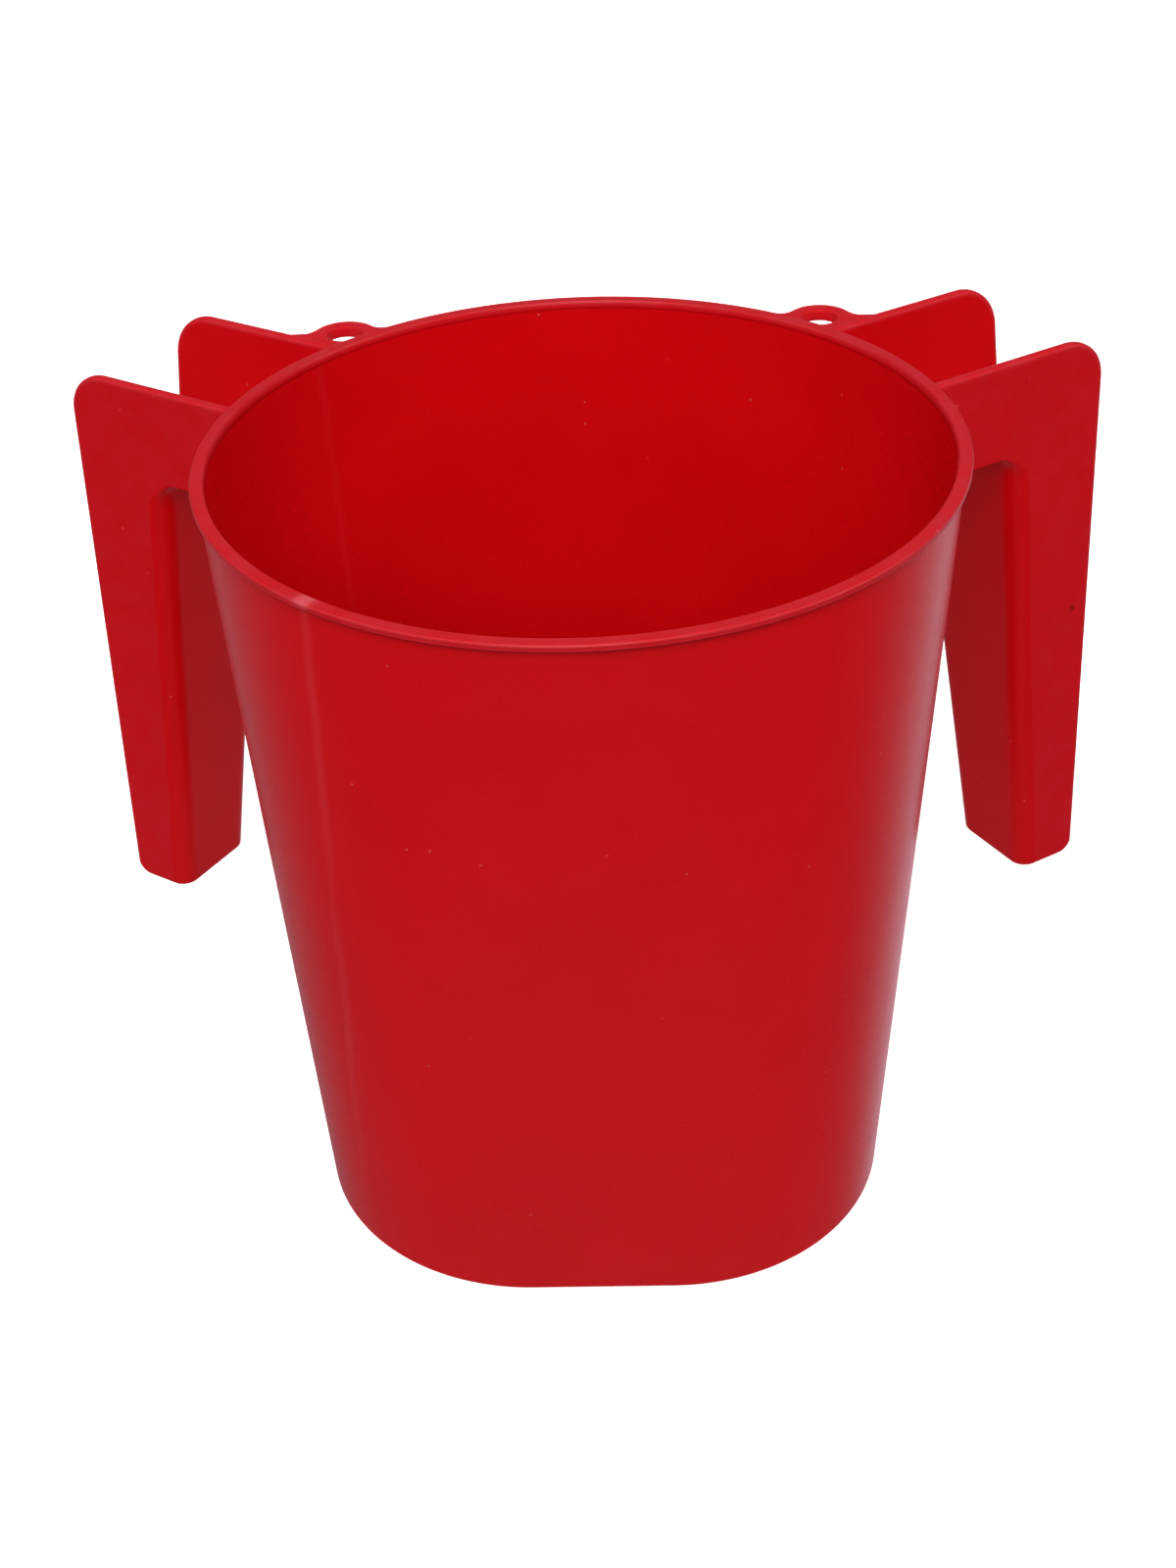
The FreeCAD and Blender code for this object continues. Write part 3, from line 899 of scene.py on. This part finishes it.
def studio_floor():
    """Pale floor that curves up into a backdrop all round, behind the lights."""
    profile = [(FLOOR_RADIUS * i / 8, 0.0) for i in range(1, 9)]
    for angle in arc(0, 80, 10)[1:]:
        profile.append((FLOOR_RADIUS + BACKDROP_BEND * math.sin(angle),
                        BACKDROP_BEND * (1.0 - math.cos(angle))))
    profile.append((profile[-1][0] + 0.3, BACKDROP_TOP))
    around = 64
    points = [(radius * math.cos(2 * math.pi * j / around),
               radius * math.sin(2 * math.pi * j / around), z - 0.0002)
              for radius, z in profile for j in range(around)]
    faces = [face[::-1] for face in ring_faces(len(profile), around)] + [tuple(range(around))]
    mesh = bpy.data.meshes.new("studio_floor")
    mesh.from_pydata(points, [], faces)
    mesh.shade_smooth()
    mesh.materials.append(floor_material())
    floor = bpy.data.objects.new("studio_floor", mesh)
    # The world below and the two bounces stand in for the light that it reflects
    floor.visible_glossy = floor.visible_diffuse = floor.visible_shadow = False
    bpy.context.scene.collection.objects.link(floor)


def softbox(name, place, size, power, in_reflections):
    light = bpy.data.lights.new(name, "AREA")
    light.size = size
    light.energy = power
    lamp = bpy.data.objects.new(name, light)
    lamp.location = place
    lamp.visible_glossy = in_reflections
    lamp.rotation_euler = (LIGHT_TARGET - Vector(place)).to_track_quat("-Z", "Y").to_euler()
    bpy.context.scene.collection.objects.link(lamp)


def studio_world():
    """Dim sky, and below the horizon the pale surroundings that the plastic reflects."""
    world = bpy.data.worlds.new("studio")
    bpy.context.scene.world = world
    world.use_nodes = True
    tree = world.node_tree
    place = tree.nodes.new("ShaderNodeTexCoord")
    split = tree.nodes.new("ShaderNodeSeparateXYZ")
    tree.links.new(place.outputs["Generated"], split.inputs[0])

    def change(axis, low, high, before, after):
        """Smooth change from one strength to another as the direction's axis goes low to high."""
        share = tree.nodes.new("ShaderNodeMapRange")
        share.interpolation_type = "SMOOTHSTEP"
        tree.links.new(split.outputs[axis], share.inputs[0])
        share.inputs[1].default_value, share.inputs[2].default_value = low, high
        node = tree.nodes.new("ShaderNodeMix")
        tree.links.new(share.outputs[0], node.inputs[0])
        for socket, strength in ((node.inputs[2], before), (node.inputs[3], after)):
            if isinstance(strength, float):
                socket.default_value = strength
            else:
                tree.links.new(strength, socket)
        return node.outputs[0]

    sky = change("Y", -0.3, 0.3, SKY_IN_FRONT, SKY_BEHIND)
    behind = change("X", -0.3, 0.3, LOW_BEHIND_LEFT, LOW_BEHIND_RIGHT)
    low = change("Y", 0.1, 0.8, LOW_IN_FRONT, behind)
    background = tree.nodes["Background"]
    low = change("Z", -0.95, -0.60, STRAIGHT_DOWN, low)
    tree.links.new(change("Z", -0.12, 0.12, low, sky), background.inputs["Strength"])
    background.inputs["Color"].default_value = SKY_TINT
    world.cycles.sampling_method = "NONE"      # it is smooth, so light samples go to the lamps


CAMERA_PLACE = Vector((0.00918, -0.3490, 0.31219))
CAMERA_ANGLES = (35.216, -3.560, -3.423)      # down, to the right and round its own axis
CAMERA_LENS = 52.52
CAMERA_SHIFT = (0.0394, 0.0315)


def studio_camera():
    """Camera above the front edge, turned and tilted a little, as the object was photographed."""
    pitch, turn, roll = (math.radians(angle) for angle in CAMERA_ANGLES)
    forward = Vector((math.sin(turn) * math.cos(pitch), math.cos(turn) * math.cos(pitch),
                      -math.sin(pitch)))
    level = Vector((math.cos(turn), -math.sin(turn), 0))
    upright = level.cross(forward)
    right = math.cos(roll) * level + math.sin(roll) * upright
    up = -math.sin(roll) * level + math.cos(roll) * upright
    turned = Matrix((right, up, -forward)).transposed().to_4x4()
    data = bpy.data.cameras.new("camera")
    data.lens = CAMERA_LENS
    data.shift_x, data.shift_y = CAMERA_SHIFT
    data.clip_start = 0.01
    camera = bpy.data.objects.new("camera", data)
    camera.matrix_world = Matrix.Translation(CAMERA_PLACE) @ turned
    bpy.context.scene.collection.objects.link(camera)
    bpy.context.scene.camera = camera


def build_scene():
    studio_camera()
    dent = from_handle_frame(np.array([outer_edge(DENT_HEIGHT) - DENT_FROM_EDGE,
                                       half_width(DENT_HEIGHT), DENT_HEIGHT]))
    # The cup's red carries pale lines of painted highlight down its wall
    cup_red = red_plastic("cup_red", 0.28, 0.14, 0.0, painted_highlight_lines=PAINTED_HIGHLIGHT_LINES)
    # The bead's paler top and lip are worn, and also painted highlight
    rim_red = red_plastic("rim_red", 0.36, 0.20, 0.50, depth=0.90)
    # The handles' red carries painted shade in the dent
    handle_red = red_plastic("handle_red", 0.33, 0.07, 0.60, depth=0.96, dent=tuple(dent))
    cup_body(cup_red)
    rim_bead(rim_red)
    for side in ("left", "right"):
        handle(side, handle_red)
        hanging_tab(side, handle_red)
    studio_floor()
    studio_world()
    for light in LIGHTS:
        softbox(*light)
    bpy.context.scene.view_settings.view_transform = "Standard"


build_scene()
